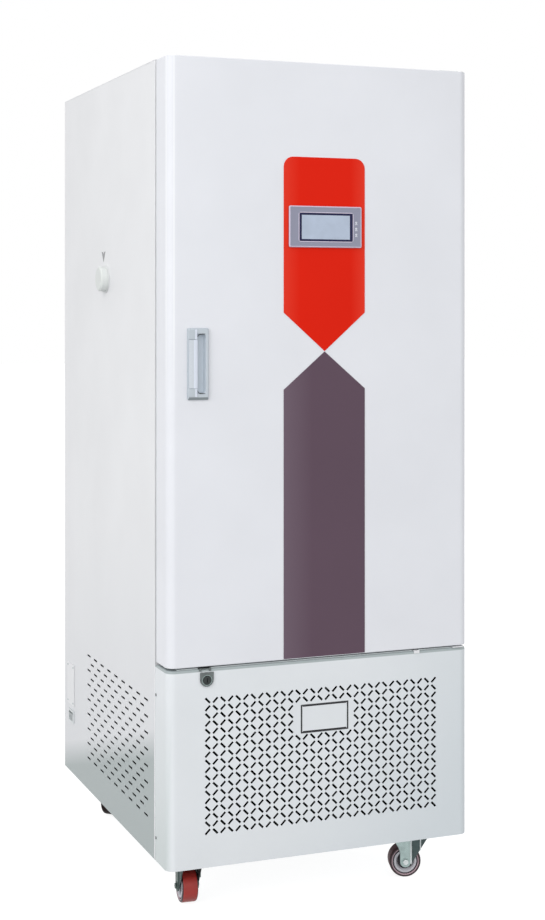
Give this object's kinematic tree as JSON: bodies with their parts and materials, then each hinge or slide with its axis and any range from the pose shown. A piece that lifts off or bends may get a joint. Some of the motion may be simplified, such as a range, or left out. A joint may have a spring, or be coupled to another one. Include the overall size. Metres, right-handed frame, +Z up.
{
  "type": "insect rearing incubator",
  "caption": "Upright cooled incubator cabinet on swivel casters: hinged insulated door with cup pull and display, wire shelves in a steel chamber, slotted machine cover below.",
  "frame": {"origin": "on the floor under the middle of the cabinet", "axes": "+Z up, -Y out of the door, +X to the door's hinge side"},
  "size_m": [0.6571, 0.7966, 1.6528],
  "materials": {
    "white_paint": "fine textured powder coat",
    "door_paint": "satin powder coat",
    "galvanised": "zinc coated sheet",
    "stainless": "brushed",
    "foam": "rigid cell foam",
    "aluminium": "mill",
    "dark_plastic": "matte",
    "black_steel": "black enamel",
    "diffuser": "opal",
    "liner_plastic": "satin",
    "silicone": "soft matte",
    "lock_metal": "dark satin nickel",
    "zinc": "bright zinc plate",
    "nylon": "matte",
    "gasket": "matte",
    "silver_plastic": "silver lacquer",
    "lens": "gloss",
    "red_film": "satin film",
    "stripe_film": "satin film",
    "polyurethane": "satin"
  },
  "bodies": {
    "cabinet": {"side_panel_left": "white_paint", "side_panel_right": "white_paint", "top_panel": "white_paint", "back_panel": "white_paint", "side_blank_plate": "white_paint", "front_frame": "white_paint", "lower_front_panel": "white_paint", "base_tray": "galvanised", "machine_deck": "galvanised", "control_box": "galvanised", "inner_liner": "stainless", "air_duct_panel": "stainless", "heater_element": "stainless", "shelf_rack_left": "stainless", "shelf_rack_right": "stainless", "wire_shelf_low": "stainless", "wire_shelf_middle": "stainless", "wire_shelf_high": "stainless", "temperature_probe": "stainless", "insulation_foam": "foam", "evaporator": "aluminium", "condenser": "aluminium", "circulation_fan_motor": "dark_plastic", "condenser_fan_motor": "dark_plastic", "condenser_fan_shroud": "black_steel", "compressor": "black_steel", "chamber_light": "diffuser", "port_sleeve": "liner_plastic", "switch_housing": "dark_plastic", "power_inlet": "dark_plastic", "lock_plate": "lock_metal", "hinge_bracket_top": "zinc", "hinge_bracket_bottom": "zinc", "door_stop_tab": "zinc"},
    "door": {"door_shell": "door_paint", "door_foam": "foam", "door_liner": "liner_plastic", "door_gasket": "gasket", "door_handle": "silver_plastic", "display_bezel": "silver_plastic", "display_lens": "lens", "red_panel": "red_film", "dark_stripe": "stripe_film", "hinge_bush_top": "nylon", "hinge_bush_bottom": "nylon"},
    "lock": {"lock_cylinder": "lock_metal"},
    "port_plug": {"port_plug": "silicone"},
    "mains_rocker": {"rocker_switch": "dark_plastic"},
    "circulation_fan": {"circulation_fan_blades": "dark_plastic"},
    "condenser_fan": {"condenser_fan_blades": "dark_plastic"},
    "swivel_fl": {"caster_fork_fl": "zinc"},
    "swivel_fr": {"caster_fork_fr": "zinc"},
    "swivel_rl": {"caster_fork_rl": "zinc"},
    "swivel_rr": {"caster_fork_rr": "zinc"},
    "wheel_fl": {"caster_wheel_fl": "polyurethane"},
    "wheel_fr": {"caster_wheel_fr": "polyurethane"},
    "wheel_rl": {"caster_wheel_rl": "polyurethane"},
    "wheel_rr": {"caster_wheel_rr": "polyurethane"}
  },
  "joints": [
    {"name": "door_hinge", "type": "hinge", "parent": "cabinet", "child": "door", "pos_m": [0.3, -0.3525, 1.066], "axis": [0, 0, 1], "range_deg": [0, 115]},
    {"name": "lock_turn", "type": "hinge", "parent": "cabinet", "child": "lock", "pos_m": [-0.2416, -0.3925, 0.4586], "axis": [0, -1, 0], "range_deg": [0, 90]},
    {"name": "port_plug_pull", "type": "slide", "parent": "cabinet", "child": "port_plug", "axis": [-1, 0, 0], "range_m": [0, 0.07]},
    {"name": "mains_rocker_tilt", "type": "hinge", "parent": "cabinet", "child": "mains_rocker", "pos_m": [-0.3173, 0.325, 0.231], "axis": [0, 1, 0], "range_deg": [0, 20]},
    {"name": "circulation_fan_spin", "type": "hinge", "parent": "cabinet", "child": "circulation_fan", "pos_m": [0, 0.2699, 1.4], "axis": [0, 1, 0], "continuous": true},
    {"name": "condenser_fan_spin", "type": "hinge", "parent": "cabinet", "child": "condenser_fan", "pos_m": [-0.07, -0.2687, 0.2328], "axis": [0, 1, 0], "continuous": true},
    {"name": "caster_swivel_fl", "type": "hinge", "parent": "cabinet", "child": "swivel_fl", "pos_m": [-0.247, -0.3105, 0.09], "axis": [0, 0, 1], "continuous": true},
    {"name": "caster_swivel_fr", "type": "hinge", "parent": "cabinet", "child": "swivel_fr", "pos_m": [0.247, -0.3105, 0.09], "axis": [0, 0, 1], "continuous": true},
    {"name": "caster_swivel_rl", "type": "hinge", "parent": "cabinet", "child": "swivel_rl", "pos_m": [-0.247, 0.2875, 0.09], "axis": [0, 0, 1], "continuous": true},
    {"name": "caster_swivel_rr", "type": "hinge", "parent": "cabinet", "child": "swivel_rr", "pos_m": [0.247, 0.2875, 0.09], "axis": [0, 0, 1], "continuous": true},
    {"name": "caster_roll_fl", "type": "hinge", "parent": "swivel_fl", "child": "wheel_fl", "pos_m": [-0.2448, -0.28259, 0.0325], "axis": [0.9969, -0.0785, 0], "continuous": true},
    {"name": "caster_roll_fr", "type": "hinge", "parent": "swivel_fr", "child": "wheel_fr", "pos_m": [0.22022, -0.30231, 0.0325], "axis": [0.2924, 0.9563, 0], "continuous": true},
    {"name": "caster_roll_rl", "type": "hinge", "parent": "swivel_rl", "child": "wheel_rl", "pos_m": [-0.2272, 0.3073, 0.0325], "axis": [0.7071, -0.7071, 0], "continuous": true},
    {"name": "caster_roll_rr", "type": "hinge", "parent": "swivel_rr", "child": "wheel_rr", "pos_m": [0.233, 0.31175, 0.0325], "axis": [0.866, 0.5, 0], "continuous": true}
  ]
}
